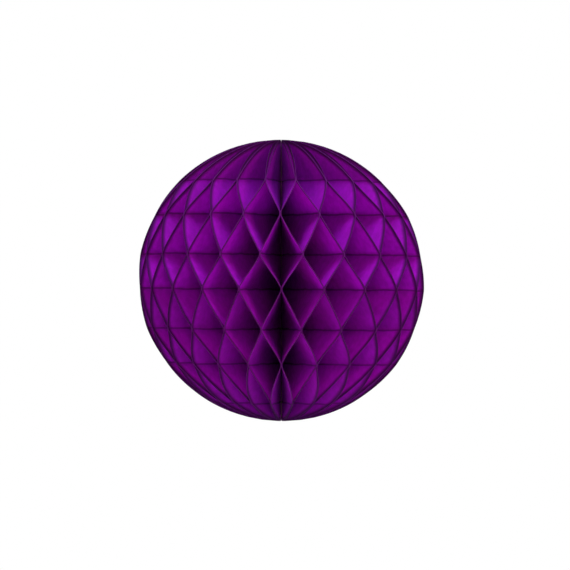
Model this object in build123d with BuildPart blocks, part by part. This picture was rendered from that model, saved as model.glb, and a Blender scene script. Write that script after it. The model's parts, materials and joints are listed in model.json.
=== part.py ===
"""Paper honeycomb ball: a fan of half-disc tissue sheets that opens a full turn about its spine.

The origin is the ball's centre, on the spine at mid height. +Z runs up the spine, the seam
where the two cover boards meet is at the back (+Y), and the front of the ball is -Y.
Lengths are in millimetres and angles in degrees.
"""

import os
from math import cos, pi, radians, sin, tan

from build123d import *

# The ball
ball_radius = 100.0         # from the spine to the tissue's rim, at the equator
pole_height = 98.4          # from the centre to each pole, a little less than the radius
sheet_count = 44            # tissue sheets, even so that both boards take the same glue rows

# The tissue and its glue rows
tissue_thickness = 0.12     # stands in for tissue of about 0.03
glue_gap = 0.10             # left between two sheets along a glue row
row_pitch = 25.8            # height from one glue row to the next
middle_row_height = -7.1    # the row nearest the equator
glue_band = 3.0             # height of a glue row
spine_gap = 3.0             # from the spine's axis to the sheets' straight edge

# The bead of flexible glue that holds the straight edges together
bead_clearance = 0.3        # between the bead and the sheets' straight edges
bead_below_pole = 1.2       # from a pole to the end of the bead
bead_end_round = 1.0

# How evenly the fan is opened
front_ease = 1.8            # the cells at the front are wider than those at the back
right_ease = 4.0            # the cells at the right front are wider than those at the left

# The cover boards and the tape that closes them
board_margin = 4.0          # from the tissue's rim in to the boards' curved edge
board_thickness = 0.45
board_setback = 12.0        # from the spine's axis to the boards' straight edge
board_corner = 3.0
seam_gap = 0.20             # between the two boards, filled by the tape
tape_width = 10.0
tape_length = 26.0
tape_corner = 1.5
tape_reach = 76.0           # from the spine to the outer tapes
tape_spread = 40.0          # height of the outer tapes above and below the centre
tape_inner_reach = 30.0     # from the spine to the middle tape

# The thread rings that bind the sheets at both ends of the spine
thread_radius = 0.4
thread_ring_radius = 6.0
thread_below_pole = 4.4     # from a pole to the ring next to it
thread_clearance = 0.8      # between a thread and the holes punched for it

sheet_half_gap = (tissue_thickness + glue_gap) / 2
board_face = seam_gap / 2 + board_thickness
board_half_gap = board_face + sheet_half_gap
thread_height = pole_height - thread_below_pole
loft_end = ball_radius + 1.0
row_reach = int((pole_height + abs(middle_row_height)) / row_pitch) + 1

os.makedirs("parts", exist_ok=True)


def boundary_azimuth(boundary):
    """Azimuth of the plane between two sheets, from 90 at the first board to 450 at the last."""
    even = 2 * pi * boundary / sheet_count - pi
    return 270 + 360 * boundary / sheet_count - 180 + front_ease * sin(even) + right_ease * sin(even) ** 2


def radial_plane(azimuth, radius):
    """A plane across a sheet at a radius from the spine, with its y axis up the ball."""
    out = Vector(cos(radians(azimuth)), sin(radians(azimuth)), 0)
    along = Vector(-sin(radians(azimuth)), cos(radians(azimuth)), 0)
    return Plane(origin=out * radius, x_dir=along, z_dir=out)


def side_offset(radius, half_angle, boundary):
    """How far a sheet stands from its mean plane where it is glued at a boundary."""
    at_board = boundary in (0, sheet_count) and radius >= board_setback
    return radius * tan(radians(half_angle)) - (board_half_gap if at_board else sheet_half_gap)


def pleat_outline(radius, half_angle, number):
    """The closed outline of a sheet cut across at a radius: a zigzag with flat glue bands."""
    middle = []
    for row in range(-row_reach, row_reach + 1):
        near = (row + number) % 2 == 1
        boundary = number - 1 if near else number
        offset = side_offset(radius, half_angle, boundary) * (-1 if near else 1)
        height = middle_row_height + row * row_pitch
        middle += [(offset, height - glue_band / 2), (offset, height + glue_band / 2)]
    half = tissue_thickness / 2
    return [(x - half, y) for x, y in middle] + [(x + half, y) for x, y in reversed(middle)]


def export(piece, name):
    piece.part.label = name
    export_step(piece.part, f"parts/{name}.step")


# The outer shape that every sheet is cut to
with BuildPart() as ball_shape:
    with BuildSketch(Plane.XZ):
        Ellipse(ball_radius, pole_height)
        with Locations((-ball_radius, 0)):
            Rectangle(2 * ball_radius, 3 * pole_height, mode=Mode.SUBTRACT)
    revolve(axis=Axis.Z)


def tissue_sheet(number):
    """One pleated half-disc, glued to its neighbours at alternate rows, with two thread holes."""
    near, far = boundary_azimuth(number - 1), boundary_azimuth(number)
    azimuth, half_angle = (near + far) / 2, (far - near) / 2
    beside_board = number in (1, sheet_count)
    radii = [spine_gap, board_setback, loft_end] if beside_board else [spine_gap, loft_end]
    with BuildPart() as sheet:
        for radius in radii:
            with BuildSketch(radial_plane(azimuth, radius)):
                with BuildLine():
                    Polyline(*pleat_outline(radius, half_angle, number), close=True)
                make_face()
        loft(ruled=True)
        add(ball_shape.part, mode=Mode.INTERSECT)
        face_plane = Plane.XZ.rotated((0, 0, azimuth))
        for height in (thread_height, -thread_height):
            with BuildSketch(face_plane):
                with Locations((thread_ring_radius, height)):
                    Circle(thread_radius + thread_clearance)
            extrude(amount=thread_ring_radius / 4, both=True, mode=Mode.SUBTRACT)
    return sheet


for number in range(1, sheet_count + 1):
    export(tissue_sheet(number), f"sheet_{number:02d}")


def cover_board(face_offset):
    """A half-disc of card, parallel to the seam, from face_offset towards +X."""
    with BuildPart() as board:
        with BuildSketch(Plane.YZ.offset(face_offset)):
            Ellipse(ball_radius - board_margin, pole_height - board_margin)
            with Locations((board_setback - ball_radius, 0)):
                Rectangle(2 * ball_radius, 3 * pole_height, mode=Mode.SUBTRACT)
        extrude(amount=board_thickness)
        corners = board.edges().filter_by(Axis.X)
        fillet(corners, board_corner)
    return board


export(cover_board(-board_face), "cover_board_a")
export(cover_board(seam_gap / 2), "cover_board_b")

with BuildPart() as closing_tapes:
    with BuildSketch(Plane.YZ.offset(-seam_gap / 2)):
        with Locations(
            (tape_reach, tape_spread), (tape_reach, -tape_spread), (tape_inner_reach, 0)
        ):
            RectangleRounded(tape_width, tape_length, tape_corner)
    extrude(amount=seam_gap)
export(closing_tapes, "closing_tapes")

for end, height in (("top", thread_height), ("bottom", -thread_height)):
    with BuildPart(Plane.XY.offset(height)) as thread_ring:
        Torus(thread_ring_radius, thread_radius)
    export(thread_ring, f"{end}_binding_thread")

with BuildPart() as spine_glue:
    Cylinder(spine_gap - bead_clearance, 2 * (pole_height - bead_below_pole))
    fillet(spine_glue.edges().filter_by(GeomType.CIRCLE), bead_end_round)
export(spine_glue, "spine_glue")
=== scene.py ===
"""Looks of a paper honeycomb ball: pleated tissue sheets, cover boards, tapes and binding threads."""

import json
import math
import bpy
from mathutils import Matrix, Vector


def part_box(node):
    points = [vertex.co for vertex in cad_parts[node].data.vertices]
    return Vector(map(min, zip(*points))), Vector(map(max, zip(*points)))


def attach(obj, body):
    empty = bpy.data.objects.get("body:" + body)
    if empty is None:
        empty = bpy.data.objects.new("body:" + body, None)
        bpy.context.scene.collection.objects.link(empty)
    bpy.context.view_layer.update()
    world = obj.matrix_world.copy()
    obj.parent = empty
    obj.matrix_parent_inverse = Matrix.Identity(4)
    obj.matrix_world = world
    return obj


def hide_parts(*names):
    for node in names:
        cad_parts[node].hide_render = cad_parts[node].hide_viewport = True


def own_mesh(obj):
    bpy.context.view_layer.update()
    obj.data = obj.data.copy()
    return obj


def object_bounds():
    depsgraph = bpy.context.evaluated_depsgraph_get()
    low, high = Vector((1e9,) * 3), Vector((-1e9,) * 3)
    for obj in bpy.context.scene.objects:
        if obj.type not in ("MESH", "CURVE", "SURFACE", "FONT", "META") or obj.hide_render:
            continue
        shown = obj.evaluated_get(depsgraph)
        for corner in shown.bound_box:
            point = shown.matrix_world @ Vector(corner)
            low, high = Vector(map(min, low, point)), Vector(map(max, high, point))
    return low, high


bl_info = {
    "name": "Paper honeycomb ball",
    "version": (1, 0, 0),
    "blender": (4, 5, 0),
    "location": "View3D > Sidebar > Honeycomb",
    "description": "Builds the tissue, boards and threads of a honeycomb ball around its packed frame",
    "category": "Object",
}

import bpy
from bpy.props import FloatProperty, FloatVectorProperty, IntProperty, PointerProperty
from mathutils import Vector, noise

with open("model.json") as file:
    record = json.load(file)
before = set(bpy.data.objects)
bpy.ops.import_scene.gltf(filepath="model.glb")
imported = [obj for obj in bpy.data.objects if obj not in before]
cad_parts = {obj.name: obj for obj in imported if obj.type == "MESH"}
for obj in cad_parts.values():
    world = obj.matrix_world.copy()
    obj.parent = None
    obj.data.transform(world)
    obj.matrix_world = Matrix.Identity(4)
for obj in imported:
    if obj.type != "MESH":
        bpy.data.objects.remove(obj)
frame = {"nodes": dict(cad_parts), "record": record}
cad_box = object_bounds()

SHEETS = sorted(name for name in frame["nodes"] if name.startswith("sheet_"))
SEAM_AZIMUTH = math.pi / 2
BALL_RADIUS = max(cad_box[1].x, -cad_box[0].x, -cad_box[0].y)
POLE_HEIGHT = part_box(SHEETS[0])[1].z
BOARD_FACE = -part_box("cover_board_a")[0].x
BOARD_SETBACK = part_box("cover_board_a")[0].y
BOARD_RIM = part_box("cover_board_a")[1].y
THREAD_LOW, THREAD_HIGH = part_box("top_binding_thread")
THREAD_HEIGHT = (THREAD_LOW.z + THREAD_HIGH.z) / 2
THREAD_REACH = THREAD_HIGH.x - (THREAD_HIGH.z - THREAD_LOW.z) / 2

# A sheet's mesh ends at this share of the pole's height, where it still has some width
TIP_SHARE = 0.9995

# Near a pole a sheet starts at this share of its own width
START_SHARE = 0.9

# How strongly a sheet's divisions crowd towards its rim: 1 is evenly spaced
RING_CROWDING = 1.3

# A glue line, partly the glue soaked into the tissue and partly painted crease shade, and the painted shade
# beside a sheet's rim: solid up to, gone by, and how strong
GLUE_LINE_AND_CREASE_SHADE = (0.0001, 0.0009, 0.6)
PAINTED_RIM_SHADE = (0.0005, 0.0036, 0.85)

# How far a glue line wanders, and where the cut edge's own colour starts and ends
GLUE_WANDER = 0.0005
CUT_EDGE = (0.00001, 0.00003)

# The zone beside a board's edge that handling has worn, how ragged it is, and how strong
WORN_WIDTH, WORN_RAGGED, WORN_SHARE = 0.0022, 0.001, 0.45

# The bead's half length against the pole's height
BEAD_REACH = 0.998

# A bead section's size against the bead's radius: at its ends, in general, and how much it varies
BEAD_END, BEAD_BODY, BEAD_LUMP = 0.6, 0.94, 0.09

# Against a ply's radius: how far each ply stands off the thread's middle, the radius of the
# knot's turns, and a tail's own radius
PLY_OFFSET, KNOT_LOOP, TAIL_SWELL = 0.9, 1.9, 1.1

# How the knot's three turns are tipped, and how its two tails lean, in radians
KNOT_TIP, KNOT_SWING = 0.5, 0.35
TAIL_LEANS = (-0.5, 0.35)

# The soft lights: azimuth from the front and height, in degrees, and which of the two colours
SOFTBOX = 0.9
LIGHTS = (
    ("top", 0, 80, "cool"),
    ("front", 0, 12, "warm"),
    ("left", -42, 20, "warm"),
    ("right", 42, 20, "warm"),
    ("back", 180, 30, "warm"),
)

# Colours that only vary a finish: the tape's ridges and stains, the glue's skin and the floor
TAPE_RIDGE, TAPE_STAIN = (0.52, 0.48, 0.38, 1), (0.42, 0.33, 0.36, 1)
GLUE_SKIN = (0.18, 0.08, 0.15, 1)
FLOOR_COOL, FLOOR_PALE = (0.84, 0.84, 0.85, 1), (0.88, 0.88, 0.88, 1)

# Sockets of a colour Mix node
MIX_A, MIX_B, MIX_RESULT = 6, 7, 2


class TissueSettings(bpy.types.PropertyGroup):
    """Sizes and colours of the tissue sheets"""

    row_pitch: FloatProperty(
        name="Row pitch", description="Height from one glue row to the next",
        default=0.0258, unit="LENGTH")
    middle_row: FloatProperty(
        name="Middle row", description="Height of the glue row nearest the equator",
        default=-0.0071, unit="LENGTH")
    row_stagger: FloatProperty(
        name="Row stagger", description="How far every other row was glued above, and the rest below",
        default=0.0009, unit="LENGTH")
    glued_rows: IntProperty(
        name="Glued rows", description="Rows that hold above and below the middle one", default=3)
    flare: FloatProperty(
        name="Flare", description="How far two sheets part beyond the last row that holds them",
        default=0.28, subtype="FACTOR")
    glue_band: FloatProperty(
        name="Glue band", description="Height of the flat band along a glue row",
        default=0.0024, unit="LENGTH")
    spine_radius: FloatProperty(
        name="Spine radius", description="From the spine's axis to a sheet's straight edge",
        default=0.00255, unit="LENGTH")
    glue_film: FloatProperty(
        name="Glue film", description="From the plane between two sheets to the paper, along a glue row",
        default=0.00003, unit="LENGTH")
    thickness: FloatProperty(
        name="Thickness", description="Thickness of a sheet",
        default=0.00012, unit="LENGTH")
    rim_thickness: FloatProperty(
        name="Rim thickness", description="Thickness of a sheet's cut edge, where its fibres are crushed",
        default=0.0006, unit="LENGTH")
    softness: FloatProperty(
        name="Softness", description="How much of a pleat's slope is an S-curve and not a straight fold",
        default=0.12, subtype="FACTOR")
    crumple: FloatProperty(
        name="Crumple", description="How far the slack tissue between the rows wanders at the rim",
        default=0.0006, unit="LENGTH")
    uneven: FloatProperty(
        name="Uneven gluing", description="How far a glued node strays round the ball",
        default=math.radians(0.45), unit="ROTATION")
    twist: FloatProperty(
        name="Twist", description="How far the ball's front is turned at the poles",
        default=math.radians(0.6), unit="ROTATION")
    droop: FloatProperty(
        name="Droop", description="How far the rows hang lower on the right than in the middle",
        default=0.0009, unit="LENGTH")
    rings: IntProperty(
        name="Rings", description="Divisions of a sheet from the spine to the rim", default=36)
    row_steps: IntProperty(
        name="Row steps", description="Divisions of the slope between two glue rows", default=12)
    colour: FloatVectorProperty(
        name="Colour", description="Colour of the tissue", subtype="COLOR", default=(0.36, 0.0, 0.51))
    look_through: FloatVectorProperty(
        name="Look-through", description="Colour of the light that comes through a sheet",
        subtype="COLOR", default=(0.80, 0.012, 0.80))
    # Along the glue rows: partly the glue soaked into the tissue, partly painted crease shade
    glue_colour: FloatVectorProperty(
        name="Glue colour", description="Colour of the tissue where glue has soaked in",
        subtype="COLOR", default=(0.09, 0.0, 0.11))
    # Painted shade beside the cut edge: the nearer sheet's rim shading the cell behind it, and the ball
    # darkening towards its outline
    rim_shade_colour: FloatVectorProperty(
        name="Rim colour", description="Colour of the bruised zone beside the cut edge",
        subtype="COLOR", default=(0.04, 0.001, 0.055))
    edge_colour: FloatVectorProperty(
        name="Cut edge colour", description="Colour of the cut edge itself",
        subtype="COLOR", default=(0.14, 0.005, 0.19))
    translucency: FloatProperty(
        name="Translucency", description="Share of the light that passes through the tissue",
        default=0.5, subtype="FACTOR")


class BindingSettings(bpy.types.PropertyGroup):
    """Sizes and colours of what holds the sheets: boards, tapes, threads and glue"""

    colour: FloatVectorProperty(
        name="Dye", description="Colour of the dye in the card and the thread", subtype="COLOR",
        default=(0.23, 0.006, 0.30))
    card_colour: FloatVectorProperty(
        name="Card colour", description="Colour of the card between its dyed fibres", subtype="COLOR",
        default=(0.13, 0.012, 0.17))
    core_colour: FloatVectorProperty(
        name="Core colour", description="Colour of the pulp inside the card", subtype="COLOR",
        default=(0.38, 0.31, 0.35))
    tape_colour: FloatVectorProperty(
        name="Tape colour", description="Colour of the paper tape", subtype="COLOR",
        default=(0.72, 0.68, 0.56))
    # Painted shade in the thread's hollows, where its bump is low
    thread_hollow_shade: FloatVectorProperty(
        name="Thread colour", description="Colour of the thread's hollows", subtype="COLOR",
        default=(0.10, 0.004, 0.14))
    bead_colour: FloatVectorProperty(
        name="Bead colour", description="Colour of the glue where it is thick", subtype="COLOR",
        default=(0.085, 0.03, 0.045))
    glue_colour: FloatVectorProperty(
        name="Thin glue colour", description="Colour of the glue where the dye has bled into it",
        subtype="COLOR", default=(0.15, 0.01, 0.17))
    bead_radius: FloatProperty(
        name="Bead radius", description="Mean radius of the glue along the spine",
        default=0.00272, unit="LENGTH")
    bead_steps: IntProperty(name="Bead steps", description="Divisions along the bead", default=72)
    ply_radius: FloatProperty(
        name="Ply radius", description="Radius of each of the thread's two plies",
        default=0.00021, unit="LENGTH")
    thread_turns: IntProperty(
        name="Thread turns", description="Turns of the plies round each other in a ring", default=18)
    tail_length: FloatProperty(
        name="Tail length", description="Length of a thread's loose ends", default=0.003, unit="LENGTH")


class StageSettings(bpy.types.PropertyGroup):
    """The camera, the floor and the lights"""

    camera_distance: FloatProperty(
        name="Camera distance", description="From the camera to the spine", default=2.5, unit="LENGTH")
    lens: FloatProperty(
        name="Lens", description="Focal length in millimetres", default=225.0, unit="CAMERA")
    camera_right: FloatProperty(
        name="Camera right", description="How far the camera stands to the right of the spine",
        default=0.0027, unit="LENGTH")
    camera_up: FloatProperty(
        name="Camera up", description="How far the camera stands above the equator",
        default=-0.0032, unit="LENGTH")
    floor_drop: FloatProperty(
        name="Floor drop", description="From the bottom of the ball down to the floor",
        default=0.35, unit="LENGTH")
    floor_radius: FloatProperty(
        name="Floor radius", description="Radius of the round floor", default=2.8, unit="LENGTH")
    light_distance: FloatProperty(
        name="Light distance", description="From each soft light to the ball", default=2.3, unit="LENGTH")
    top_power: FloatProperty(
        name="Top power", description="Power of the soft light overhead", default=64.0, unit="POWER")
    front_power: FloatProperty(
        name="Front power", description="Power of the soft light beside the camera",
        default=13.0, unit="POWER")
    left_power: FloatProperty(
        name="Left power", description="Power of the soft light at the left", default=8.0, unit="POWER")
    right_power: FloatProperty(
        name="Right power", description="Power of the soft light at the right", default=18.0, unit="POWER")
    back_power: FloatProperty(
        name="Back power", description="Power of the soft light behind the ball", default=16.0, unit="POWER")
    cool: FloatVectorProperty(
        name="Cool", description="Colour of the light overhead", subtype="COLOR", default=(0.86, 0.95, 1.14))
    warm: FloatVectorProperty(
        name="Warm", description="Colour of the other lights", subtype="COLOR", default=(1.16, 0.95, 0.84))
    surround: FloatProperty(
        name="Surround", description="Strength of the light from all round", default=0.10)


# Materials


def new_material(name):
    """An empty node material and a function that adds a node with its settings and inputs."""
    material = bpy.data.materials.new(name)
    material.use_nodes = True
    tree = material.node_tree
    tree.nodes.clear()

    def add(kind, inputs=None, **settings):
        node = tree.nodes.new(kind)
        for key, value in settings.items():
            setattr(node, key, value)
        for key, value in (inputs or {}).items():
            if isinstance(value, bpy.types.NodeSocket):
                tree.links.new(value, node.inputs[key])
            else:
                node.inputs[key].default_value = value
        return node

    return material, add


def mixed(add, factor, first, second):
    """The colour that lies between two colours, by a factor."""
    mix = add("ShaderNodeMix", {0: factor, MIX_A: first, MIX_B: second}, data_type="RGBA")
    return mix.outputs[MIX_RESULT]


def noise_at(add, place, scale, detail=3.0):
    """Noise on a place, stretched by a scale in cycles per metre."""
    stretched = add("ShaderNodeMapping", {"Vector": place, "Scale": scale})
    grain = add("ShaderNodeTexNoise", {"Vector": stretched.outputs[0], "Scale": 1.0, "Detail": detail})
    return grain.outputs["Fac"]


def ramp(add, value, low, high, from_value=0.0, to_value=1.0):
    """A smooth step between two values as the input passes from low to high."""
    step = add("ShaderNodeMapRange", {"Value": value, "From Min": low, "From Max": high,
                                      "To Min": from_value, "To Max": to_value},
               interpolation_type="SMOOTHSTEP")
    return step.outputs[0]


def tissue_material(settings):
    """Dyed tissue: thin, matt and translucent, with painted shade beside its cut edge, and darker along its
    glue lines, partly from the glue and partly from painted crease shade.
    """
    material, add = new_material("tissue_paper")
    flat = add("ShaderNodeSeparateXYZ", {0: add("ShaderNodeUVMap", uv_map="flat_cut").outputs["UV"]})
    number = add("ShaderNodeAttribute", attribute_name="sheet_number")
    place = add("ShaderNodeCombineXYZ", {0: flat.outputs[0], 1: flat.outputs[1], 2: number.outputs["Fac"]})
    place = place.outputs[0]
    fibres = noise_at(add, place, (1500, 260, 7.3), 4.0)
    clouds = noise_at(add, place, (300, 300, 3.1))
    cockles = noise_at(add, place, (60, 170, 5.7))

    wander = ramp(add, noise_at(add, place, (42, 6, 11.3), 4.0), 0.25, 0.75, -GLUE_WANDER, GLUE_WANDER)
    row = add("ShaderNodeAttribute", attribute_name="glue_row")
    height = add("ShaderNodeMath", {0: row.outputs["Fac"], 1: settings.row_pitch, 2: wander},
                 operation="MULTIPLY_ADD")
    from_row = add("ShaderNodeMath", {0: height.outputs[0], 1: settings.row_pitch / 2},
                   operation="PINGPONG")
    # Darker along each glue row: partly the glue soaked into the tissue, partly painted crease shade
    glue = ramp(add, from_row.outputs[0], GLUE_LINE_AND_CREASE_SHADE[0], GLUE_LINE_AND_CREASE_SHADE[1], GLUE_LINE_AND_CREASE_SHADE[2], 0.0)

    upright = add("ShaderNodeMath", {0: flat.outputs[1], 1: BALL_RADIUS / POLE_HEIGHT}, operation="MULTIPLY")
    reach = add("ShaderNodeCombineXYZ", {0: flat.outputs[0], 1: upright.outputs[0]})
    reach = add("ShaderNodeVectorMath", {0: reach.outputs[0]}, operation="LENGTH")
    from_rim = add("ShaderNodeMath", {0: BALL_RADIUS, 1: reach.outputs["Value"]}, operation="SUBTRACT")
    # Painted shade beside each sheet's rim, standing in for the shadow that the nearer sheet's rim casts in
    # the cell behind it, and for the ball's darkening towards its outline
    painted_rim_shade = ramp(add, from_rim.outputs[0], PAINTED_RIM_SHADE[0], PAINTED_RIM_SHADE[1], PAINTED_RIM_SHADE[2], 0.0)
    cut = ramp(add, from_rim.outputs[0], *CUT_EDGE, 1.0, 0.0)

    dye = add("ShaderNodeMath", {0: ramp(add, clouds, 0.3, 0.7, 0.9, 1.06),
                                 1: ramp(add, fibres, 0.3, 0.7, 0.95, 1.04)}, operation="MULTIPLY")
    colour = add("ShaderNodeVectorMath", {0: (*settings.colour,), "Scale": dye.outputs[0]},
                 operation="SCALE").outputs[0]
    colour = mixed(add, glue, colour, (*settings.glue_colour, 1))
    colour = mixed(add, painted_rim_shade, colour, (*settings.rim_shade_colour, 1))
    colour = mixed(add, cut, colour, (*settings.edge_colour, 1))

    heights = add("ShaderNodeMath", {0: fibres, 1: 0.2}, operation="MULTIPLY")
    heights = add("ShaderNodeMath", {0: heights.outputs[0], 1: cockles}, operation="ADD")
    bump = add("ShaderNodeBump", {"Height": heights.outputs[0], "Strength": 0.4, "Distance": 0.0005})
    paper = add("ShaderNodeBsdfPrincipled", {
        "Base Color": colour, "Roughness": ramp(add, fibres, 0.2, 0.8, 0.78, 0.95),
        "Specular IOR Level": 0.2, "Normal": bump.outputs[0]})
    # The painted rim shade and the glue rows, which are partly painted crease shade, also darken the light
    # that comes through the tissue
    darkest = add("ShaderNodeMath", {0: glue, 1: painted_rim_shade}, operation="MAXIMUM")
    lit = add("ShaderNodeVectorMath", {0: (*settings.look_through,), "Scale": dye.outputs[0]},
              operation="SCALE").outputs[0]
    lit = mixed(add, darkest.outputs[0], lit, (*settings.rim_shade_colour, 1))
    through = add("ShaderNodeBsdfTranslucent", {"Color": lit, "Normal": bump.outputs[0]})
    mix = add("ShaderNodeMixShader", {0: settings.translucency, 1: paper.outputs[0], 2: through.outputs[0]})
    add("ShaderNodeOutputMaterial", {"Surface": mix.outputs[0]})
    return material


def finish(add, colour, roughness, heights, strength, distance, **constants):
    """A surface with a bumpy finish; the constants are the shader's own inputs."""
    bump = add("ShaderNodeBump", {"Height": heights, "Strength": strength, "Distance": distance})
    inputs = {"Base Color": colour, "Roughness": roughness, "Normal": bump.outputs[0]}
    inputs.update({key.replace("_", " "): value for key, value in constants.items()})
    surface = add("ShaderNodeBsdfPrincipled", inputs)
    add("ShaderNodeOutputMaterial", {"Surface": surface.outputs[0]})


def card_material(settings):
    """Dyed pulp board: short fibres on its faces, grey layers on its cut edge, worn beside it."""
    material, add = new_material("cover_card")
    coordinates = add("ShaderNodeTexCoord")
    place = coordinates.outputs["Object"]
    fibres = noise_at(add, place, (900, 420, 1300), 6.0)
    clouds = noise_at(add, place, (90, 90, 90))
    layers = noise_at(add, place, (11000, 160, 160), 2.0)
    flat = add("ShaderNodeVectorMath", {0: coordinates.outputs["Normal"], 1: (1, 0, 0)},
               operation="DOT_PRODUCT")
    flat = add("ShaderNodeMath", {0: flat.outputs["Value"]}, operation="ABSOLUTE")
    core = ramp(add, flat.outputs[0], 0.4, 0.6, 1.0, 0.0)
    reach = add("ShaderNodeVectorMath", {0: place, 1: (0, 1, BALL_RADIUS / POLE_HEIGHT)},
                operation="MULTIPLY")
    reach = add("ShaderNodeVectorMath", {0: reach.outputs[0]}, operation="LENGTH")
    ragged = ramp(add, clouds, 0.3, 0.7, -WORN_RAGGED, WORN_RAGGED)
    worn = add("ShaderNodeMath", {0: reach.outputs["Value"], 1: ragged}, operation="ADD")
    worn = ramp(add, worn.outputs[0], BOARD_RIM - WORN_WIDTH, BOARD_RIM, 0.0, WORN_SHARE)
    colour = mixed(add, ramp(add, fibres, 0.3, 0.7), (*settings.card_colour, 1), (*settings.colour, 1))
    colour = mixed(add, ramp(add, clouds, 0.35, 0.75, 0.0, 0.35), colour, (*settings.card_colour, 1))
    colour = mixed(add, worn, colour, (*settings.core_colour, 1))
    edge = mixed(add, ramp(add, layers, 0.35, 0.65, 0.0, 0.6), (*settings.core_colour, 1),
                 (*settings.card_colour, 1))
    finish(add, mixed(add, core, colour, edge), ramp(add, fibres, 0.2, 0.8, 0.7, 0.9), fibres, 0.35, 0.0002)
    return material


def tape_material(settings):
    """Creped paper tape: fine ridges across its length, and a faint shine."""
    material, add = new_material("closing_tape")
    place = add("ShaderNodeTexCoord").outputs["Object"]
    crepe = noise_at(add, place, (250, 250, 3200), 4.0)
    stains = noise_at(add, place, (120, 120, 120))
    colour = mixed(add, ramp(add, crepe, 0.3, 0.7, 0.0, 0.5), (*settings.tape_colour, 1), TAPE_RIDGE)
    colour = mixed(add, ramp(add, stains, 0.45, 0.8, 0.0, 0.4), colour, TAPE_STAIN)
    finish(add, colour, ramp(add, crepe, 0.2, 0.8, 0.45, 0.7), crepe, 0.5, 0.0002)
    return material


def thread_material(settings):
    """Dyed cotton thread: fibres along the plies, painted shade in the hollows between them, and a little
    fuzz.
    """
    material, add = new_material("binding_thread")
    place = add("ShaderNodeTexCoord").outputs["Object"]
    fibres = noise_at(add, place, (5200, 5200, 5200), 5.0)
    shade = noise_at(add, place, (900, 900, 900))
    # Painted shade where the fibres' bump is low, the dye's colour where it is high
    colour = mixed(add, ramp(add, fibres, 0.3, 0.7), (*settings.thread_hollow_shade, 1), (*settings.colour, 1))
    colour = mixed(add, ramp(add, shade, 0.4, 0.75, 0.0, 0.5), colour, (*settings.card_colour, 1))
    finish(add, colour, ramp(add, shade, 0.2, 0.8, 0.65, 0.9), fibres, 0.4, 0.0001, Sheen_Weight=0.3)
    return material


def glue_material(settings):
    """Dried flexible glue: dark where it is thick, milky where it skinned over, half glossy."""
    material, add = new_material("dried_glue")
    place = add("ShaderNodeTexCoord").outputs["Object"]
    lumps = noise_at(add, place, (420, 420, 180), 4.0)
    skin = noise_at(add, place, (1600, 1600, 900), 3.0)
    colour = mixed(add, ramp(add, lumps, 0.35, 0.7), (*settings.bead_colour, 1), (*settings.glue_colour, 1))
    colour = mixed(add, ramp(add, skin, 0.55, 0.8, 0.0, 0.25), colour, GLUE_SKIN)
    finish(add, colour, ramp(add, skin, 0.3, 0.7, 0.45, 0.7), skin, 0.3, 0.0003, Specular_IOR_Level=0.2)
    return material


def floor_material():
    """Matt pale paper with a faint tooth."""
    material, add = new_material("pale_floor")
    place = add("ShaderNodeTexCoord").outputs["Object"]
    tooth = noise_at(add, place, (700, 700, 700), 4.0)
    drift = noise_at(add, place, (3, 3, 3))
    colour = mixed(add, ramp(add, drift, 0.3, 0.7), FLOOR_COOL, FLOOR_PALE)
    finish(add, colour, ramp(add, tooth, 0.2, 0.8, 0.85, 0.95), tooth, 0.1, 0.0003)
    return material


def give_material(piece, material):
    piece.data.materials.clear()
    piece.data.materials.append(material)


# The tissue


def boundary_azimuths():
    """The azimuth of each glued plane, from the first board round to the last."""
    shares = {c["joint"]: c["ratio"] for c in frame["record"]["behaviour"]["couplings"]}
    azimuths = [SEAM_AZIMUTH]
    for name in SHEETS:
        middle = SEAM_AZIMUTH + 2 * math.pi * shares[f"{name}_fold"]
        azimuths.append(2 * middle - azimuths[-1])
    return azimuths


def staggered(even, settings):
    """How far a height on an evenly glued sheet is moved by the rows' stagger."""
    return settings.row_stagger * math.cos(math.pi * (even - settings.middle_row) / settings.row_pitch)


def free_end(even, row, share, settings):
    """Beyond the outermost rows that hold, two sheets part only a little."""
    last = settings.glued_rows
    slope = settings.row_pitch - settings.glue_band
    beyond = abs(even - settings.middle_row) - last * settings.row_pitch - settings.glue_band / 2
    parted = settings.flare * max(0, beyond) / slope
    if row >= last:
        return last, parted
    return (-last - 1, 1 - parted) if row < -last else (row, share)


def sheet_levels(settings):
    """The mesh's rows: even height, real height, glue row and how far on the way to the next."""
    levels = []
    reach = int((POLE_HEIGHT + abs(settings.middle_row)) / settings.row_pitch) + 1
    slope = settings.row_pitch - settings.glue_band
    for row in range(-reach, reach + 1):
        middle = settings.middle_row + row * settings.row_pitch
        levels += [(middle - settings.glue_band / 2, row, 0.0), (middle, row, 0.0)]
        for step in range(settings.row_steps):
            share = step / settings.row_steps
            levels.append((middle + settings.glue_band / 2 + share * slope, row, share))
    levels = [(even, even + staggered(even, settings), *free_end(even, row, share, settings))
              for even, row, share in levels]
    top = POLE_HEIGHT * TIP_SHARE
    inside = [level for level in levels if -top < level[1] < top]
    ends = [min(levels, key=lambda level: abs(level[1] - height)) for height in (-top, top)]
    return [(ends[0][0], -top, *ends[0][2:]), *inside, (ends[1][0], top, *ends[1][2:])]


def glued_at(boundary, row, radius, thickness, azimuths, settings):
    """The azimuth of a boundary's node, and how far the paper stands off it."""
    at_board = boundary in (0, len(SHEETS))
    stray = 0 if at_board else settings.uneven * noise.noise(Vector((boundary * 1.7, row * 2.3, 0.5)))
    board = BOARD_FACE * min(1, radius / BOARD_SETBACK) if at_board else 0
    return azimuths[boundary] + stray, board + settings.glue_film + thickness / 2


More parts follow.
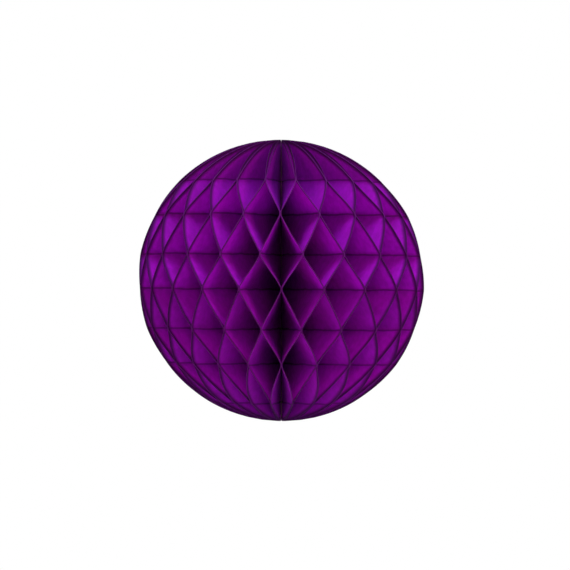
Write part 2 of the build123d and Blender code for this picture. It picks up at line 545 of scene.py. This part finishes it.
def settled(place, settings):
    """Where a point of the ideal ball comes to rest, with the ball's slight twist and droop."""
    from_front = math.atan2(place.x, -place.y)
    front_share = math.cos(from_front / 2) ** 2
    turn = -settings.twist * front_share * place.z / POLE_HEIGHT
    across = math.hypot(place.x, place.y) / BALL_RADIUS
    drop = settings.droop * across * math.sin(from_front)
    azimuth = math.atan2(place.y, place.x) + turn
    return Vector((math.cos(azimuth), math.sin(azimuth), 0)) * across * BALL_RADIUS + Vector(
        (0, 0, place.z - drop))


def shape_sheet(piece, number, azimuths, settings, levels):
    """Moves a flat grid's vertices onto one pleated half-disc and lays its flat map."""
    middle = (azimuths[number - 1] + azimuths[number]) / 2
    out = Vector((math.cos(middle), math.sin(middle), 0))
    along = Vector((-math.sin(middle), math.cos(middle), 0))
    rings = settings.rings + 1
    last_row = settings.glued_rows + 0.5
    cut_places, rows = [], []
    for index, vertex in enumerate(piece.data.vertices):
        level, ring = divmod(index, rings)
        even, height, row, share = levels[level]
        reach = BALL_RADIUS * math.sqrt(max(0, 1 - (height / POLE_HEIGHT) ** 2))
        start = min(settings.spine_radius, reach * START_SHARE)
        step = ring / settings.rings
        radius = start + (reach - start) * (1 - (1 - step) ** RING_CROWDING)
        thickness = settings.rim_thickness if ring == settings.rings else settings.thickness
        sides = []
        for node_row in (row, row + 1):
            near = (node_row + number) % 2 == 1
            boundary = number - 1 if near else number
            azimuth, gap = glued_at(boundary, node_row, radius, thickness, azimuths, settings)
            side = radius * math.tan(azimuth - middle)
            sides.append(min(0, side + gap) if near else max(0, side - gap))
        ease = share * share * (3 - 2 * share)
        share = settings.softness * ease + (1 - settings.softness) * share
        slack = math.sin(math.pi * share) * radius / BALL_RADIUS
        wander = noise.noise(Vector((radius * 38, height * 55, number * 7.3)))
        wander += 0.5 * noise.noise(Vector((radius * 90, height * 130, number * 3.1)))
        offset = sides[0] + (sides[1] - sides[0]) * share + settings.crumple * slack * wander
        vertex.co = settled(out * radius + along * offset + Vector((0, 0, height)), settings)
        cut_places.append((radius, height))
        rows.append(max(-last_row, min(last_row, (even - settings.middle_row) / settings.row_pitch)))
    at_rim = [index for index in range(len(cut_places)) if index % rings == settings.rings]
    inner = [index for index in range(len(cut_places)) if index % rings != settings.rings]
    edge = piece.vertex_groups.new(name="edge")
    edge.add(at_rim, 1.0, "REPLACE")
    edge.add(inner, settings.thickness / settings.rim_thickness, "REPLACE")
    piece.data.uv_layers.remove(piece.data.uv_layers[0])
    layer = piece.data.uv_layers.new(name="flat_cut")
    for loop in piece.data.loops:
        layer.data[loop.index].uv = cut_places[loop.vertex_index]
    for name, values in (("sheet_number", [number] * len(rows)), ("glue_row", rows)):
        piece.data.attributes.new(name, "FLOAT", "POINT")
        piece.data.attributes[name].data.foreach_set("value", values)


def apply_modifier(piece, kind, **settings):
    modifier = piece.modifiers.new(kind.lower(), kind)
    for key, value in settings.items():
        setattr(modifier, key, value)
    bpy.context.view_layer.objects.active = piece
    bpy.ops.object.modifier_apply(modifier=modifier.name)


def select_only(piece):
    bpy.ops.object.select_all(action="DESELECT")
    piece.select_set(True)
    bpy.context.view_layer.objects.active = piece


class HONEYCOMB_OT_tissue_sheets(bpy.types.Operator):
    """Build the pleated tissue sheets"""

    bl_idname = "honeycomb.tissue_sheets"
    bl_label = "Tissue sheets"

    def execute(self, context):
        settings = context.scene.honeycomb_tissue
        material = tissue_material(settings)
        azimuths = boundary_azimuths()
        levels = sheet_levels(settings)
        for number, node in enumerate(SHEETS, 1):
            bpy.ops.object.select_all(action="DESELECT")
            bpy.ops.mesh.primitive_grid_add(
                x_subdivisions=settings.rings, y_subdivisions=len(levels) - 1,
                size=2, location=(0, 0, 0))
            piece = context.active_object
            piece.name = f"tissue_{number:02d}"
            shape_sheet(piece, number, azimuths, settings, levels)
            apply_modifier(piece, "SOLIDIFY", thickness=settings.rim_thickness, offset=0.0,
                           vertex_group="edge")
            select_only(piece)
            bpy.ops.object.shade_smooth_by_angle(angle=math.radians(40))
            give_material(piece, material)
            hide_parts(node)
            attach(piece, f"{node}_body")
            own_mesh(piece)
        return {"FINISHED"}


class HONEYCOMB_OT_cover_boards(bpy.types.Operator):
    """Finish the two cover boards"""

    bl_idname = "honeycomb.cover_boards"
    bl_label = "Cover boards"

    def execute(self, context):
        card = card_material(context.scene.honeycomb_binding)
        for name in ("cover_board_a", "cover_board_b"):
            give_material(frame["nodes"][name], card)
        return {"FINISHED"}


class HONEYCOMB_OT_closing_tapes(bpy.types.Operator):
    """Finish the tapes that hold the boards together"""

    bl_idname = "honeycomb.closing_tapes"
    bl_label = "Closing tapes"

    def execute(self, context):
        tape = tape_material(context.scene.honeycomb_binding)
        give_material(frame["nodes"]["closing_tapes"], tape)
        return {"FINISHED"}


class HONEYCOMB_OT_glue_bead(bpy.types.Operator):
    """Build the lumpy bead of glue along the spine"""

    bl_idname = "honeycomb.glue_bead"
    bl_label = "Glue bead"

    def execute(self, context):
        settings = context.scene.honeycomb_binding
        half = POLE_HEIGHT * BEAD_REACH
        rise = 2 * half / settings.bead_steps
        bpy.ops.object.select_all(action="DESELECT")
        bpy.ops.mesh.primitive_circle_add(vertices=16, radius=settings.bead_radius * BEAD_END,
                                          fill_type="NGON", location=(0, 0, -half))
        bead = context.active_object
        bead.name = "glue_bead"
        select_only(bead)
        bpy.ops.object.transform_apply(location=True)
        bpy.ops.object.mode_set(mode="EDIT")
        bpy.ops.mesh.select_all(action="SELECT")
        size = BEAD_END
        for step in range(1, settings.bead_steps + 1):
            wanted = BEAD_BODY + BEAD_LUMP * noise.noise(Vector((step * 0.7, 3.1, 0)))
            if step == settings.bead_steps:
                wanted = BEAD_END
            bpy.ops.mesh.extrude_region_move(TRANSFORM_OT_translate={"value": (0, 0, rise)})
            bpy.ops.transform.resize(value=(wanted / size, wanted / size, 1),
                                     center_override=(0, 0, -half + step * rise))
            size = wanted
        bpy.ops.mesh.select_all(action="SELECT")
        bpy.ops.mesh.normals_make_consistent(inside=False)
        bpy.ops.object.mode_set(mode="OBJECT")
        apply_modifier(bead, "SUBSURF", levels=1, render_levels=1)
        select_only(bead)
        bpy.ops.object.shade_smooth()
        give_material(bead, glue_material(settings))
        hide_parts("spine_glue")
        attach(bead, "fixed_cover")
        return {"FINISHED"}


class HONEYCOMB_OT_binding_threads(bpy.types.Operator):
    """Build the two thread rings, each of two twisted plies tied in a small knot"""

    bl_idname = "honeycomb.binding_threads"
    bl_label = "Binding threads"

    def execute(self, context):
        settings = context.scene.honeycomb_binding
        material = thread_material(settings)
        for end, height in (("top", THREAD_HEIGHT), ("bottom", -THREAD_HEIGHT)):
            ring = self.twisted_ring(context, settings, height)
            knot = self.knot(context, settings, height)
            select_only(ring)
            knot.select_set(True)
            bpy.ops.object.join()
            ring.name = f"{end}_thread"
            bpy.ops.object.shade_smooth()
            give_material(ring, material)
            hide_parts(f"{end}_binding_thread")
            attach(ring, "fixed_cover")
        return {"FINISHED"}

    def twisted_ring(self, context, settings, height):
        """Two plies screwed along X, then bent round into a ring."""
        length = 2 * math.pi * THREAD_REACH
        bpy.ops.object.select_all(action="DESELECT")
        for side in (1, -1):
            bpy.ops.mesh.primitive_circle_add(
                vertices=8, radius=settings.ply_radius, fill_type="NOTHING",
                location=(0, side * settings.ply_radius * PLY_OFFSET, 0), rotation=(0, math.pi / 2, 0))
            if side == 1:
                ring = context.active_object
        ring.select_set(True)
        context.view_layer.objects.active = ring
        bpy.ops.object.join()
        bpy.ops.object.transform_apply(location=True, rotation=True)
        apply_modifier(ring, "SCREW", axis="X", angle=2 * math.pi, steps=10, render_steps=10,
                       screw_offset=length / settings.thread_turns, iterations=settings.thread_turns,
                       use_merge_vertices=True)
        ring.location = (-length / 2, 0, 0)
        select_only(ring)
        bpy.ops.object.transform_apply(location=True)
        apply_modifier(ring, "SIMPLE_DEFORM", deform_method="BEND", deform_axis="Z", angle=2 * math.pi)
        bpy.ops.object.mode_set(mode="EDIT")
        bpy.ops.mesh.select_all(action="SELECT")
        bpy.ops.mesh.remove_doubles(threshold=0.00002)
        bpy.ops.mesh.normals_make_consistent(inside=False)
        bpy.ops.object.mode_set(mode="OBJECT")
        low, high = [[extreme(vertex.co[axis] for vertex in ring.data.vertices) for axis in range(3)]
                     for extreme in (min, max)]
        ring.location = [-(low[axis] + high[axis]) / 2 for axis in range(3)]
        ring.location.z += height
        bpy.ops.object.transform_apply(location=True)
        return ring

    def knot(self, context, settings, height):
        """Three tight turns of thread with two short tails, in the seam between the first and last sheet."""
        place = Vector((0, THREAD_REACH, height))
        bpy.ops.object.select_all(action="DESELECT")
        pieces = []
        for turn in (-1, 0, 1):
            bpy.ops.mesh.primitive_torus_add(
                major_segments=14, minor_segments=8, major_radius=settings.ply_radius * KNOT_LOOP,
                minor_radius=settings.ply_radius, location=place + Vector((turn * settings.ply_radius, 0, 0)),
                rotation=(KNOT_TIP * turn, math.pi / 2 + KNOT_SWING * turn, 0))
            pieces.append(context.active_object)
        inwards = math.copysign(1, -height)
        for lean in TAIL_LEANS:
            along = Vector((0, -math.sin(lean), inwards * math.cos(lean)))
            bpy.ops.mesh.primitive_cylinder_add(
                vertices=8, radius=settings.ply_radius * TAIL_SWELL, depth=settings.tail_length,
                location=place + along * settings.tail_length / 2, rotation=(lean * inwards, 0, 0))
            pieces.append(context.active_object)
        for piece in pieces:
            piece.select_set(True)
        bpy.ops.object.join()
        bpy.ops.object.transform_apply(location=True, rotation=True)
        return context.active_object


class HONEYCOMB_OT_stage(bpy.types.Operator):
    """Set up the camera, the floor and the soft light"""

    bl_idname = "honeycomb.stage"
    bl_label = "Stage"

    def execute(self, context):
        settings = context.scene.honeycomb_stage
        scene = context.scene
        scene.view_settings.view_transform = "Standard"

        bpy.ops.object.select_all(action="DESELECT")
        bpy.ops.object.camera_add(
            location=(settings.camera_right, -settings.camera_distance, settings.camera_up),
            rotation=(math.pi / 2, 0, 0))
        camera = context.active_object
        camera.data.lens = settings.lens
        camera.data.sensor_width = 36.0
        camera.data.clip_end = 50.0
        scene.camera = camera

        bpy.ops.mesh.primitive_circle_add(
            vertices=128, radius=settings.floor_radius, fill_type="NGON",
            location=(0, 0, -POLE_HEIGHT - settings.floor_drop))
        floor = context.active_object
        floor.name = "floor"
        floor.data.materials.append(floor_material())

        for name, azimuth, height, colour in LIGHTS:
            azimuth, height = math.radians(azimuth), math.radians(height)
            towards = Vector((math.sin(azimuth) * math.cos(height), -math.cos(azimuth) * math.cos(height),
                              math.sin(height)))
            bpy.ops.object.light_add(type="AREA", location=towards * settings.light_distance,
                                     rotation=towards.to_track_quat("Z", "Y").to_euler())
            light = context.active_object
            light.name = f"{name}_light"
            light.data.size = SOFTBOX
            light.data.energy = getattr(settings, f"{name}_power")
            light.data.color = getattr(settings, colour)

        world = bpy.data.worlds.new("studio")
        scene.world = world
        world.use_nodes = True
        tree = world.node_tree
        background = tree.nodes["Background"]
        background.inputs["Color"].default_value = (1, 1, 1, 1)
        path = tree.nodes.new("ShaderNodeLightPath")
        strength = tree.nodes.new("ShaderNodeMapRange")
        tree.links.new(path.outputs["Is Camera Ray"], strength.inputs["Value"])
        strength.inputs["To Min"].default_value = settings.surround
        strength.inputs["To Max"].default_value = 1.0
        tree.links.new(strength.outputs[0], background.inputs["Strength"])
        return {"FINISHED"}


class HONEYCOMB_PT_panel(bpy.types.Panel):
    """Lists the steps that build the ball"""

    bl_label = "Honeycomb ball"
    bl_idname = "HONEYCOMB_PT_panel"
    bl_space_type = "VIEW_3D"
    bl_region_type = "UI"
    bl_category = "Honeycomb"

    def draw(self, context):
        for operator in OPERATORS:
            self.layout.operator(operator.bl_idname)
        scene = context.scene
        for group in (scene.honeycomb_tissue, scene.honeycomb_binding, scene.honeycomb_stage):
            for name in group.bl_rna.properties.keys():
                if name not in ("rna_type", "name"):
                    self.layout.prop(group, name)


OPERATORS = (
    HONEYCOMB_OT_stage,
    HONEYCOMB_OT_tissue_sheets,
    HONEYCOMB_OT_cover_boards,
    HONEYCOMB_OT_closing_tapes,
    HONEYCOMB_OT_glue_bead,
    HONEYCOMB_OT_binding_threads,
)
CLASSES = (TissueSettings, BindingSettings, StageSettings, *OPERATORS, HONEYCOMB_PT_panel)


def register():
    for cls in CLASSES:
        bpy.utils.register_class(cls)
    bpy.types.Scene.honeycomb_tissue = PointerProperty(type=TissueSettings)
    bpy.types.Scene.honeycomb_binding = PointerProperty(type=BindingSettings)
    bpy.types.Scene.honeycomb_stage = PointerProperty(type=StageSettings)


def unregister():
    del bpy.types.Scene.honeycomb_stage
    del bpy.types.Scene.honeycomb_binding
    del bpy.types.Scene.honeycomb_tissue
    for cls in reversed(CLASSES):
        bpy.utils.unregister_class(cls)


def main():
    register()
    bpy.ops.honeycomb.stage()
    bpy.ops.honeycomb.tissue_sheets()
    bpy.ops.honeycomb.cover_boards()
    bpy.ops.honeycomb.closing_tapes()
    bpy.ops.honeycomb.glue_bead()
    bpy.ops.honeycomb.binding_threads()


if __name__ == "__main__":
    main()
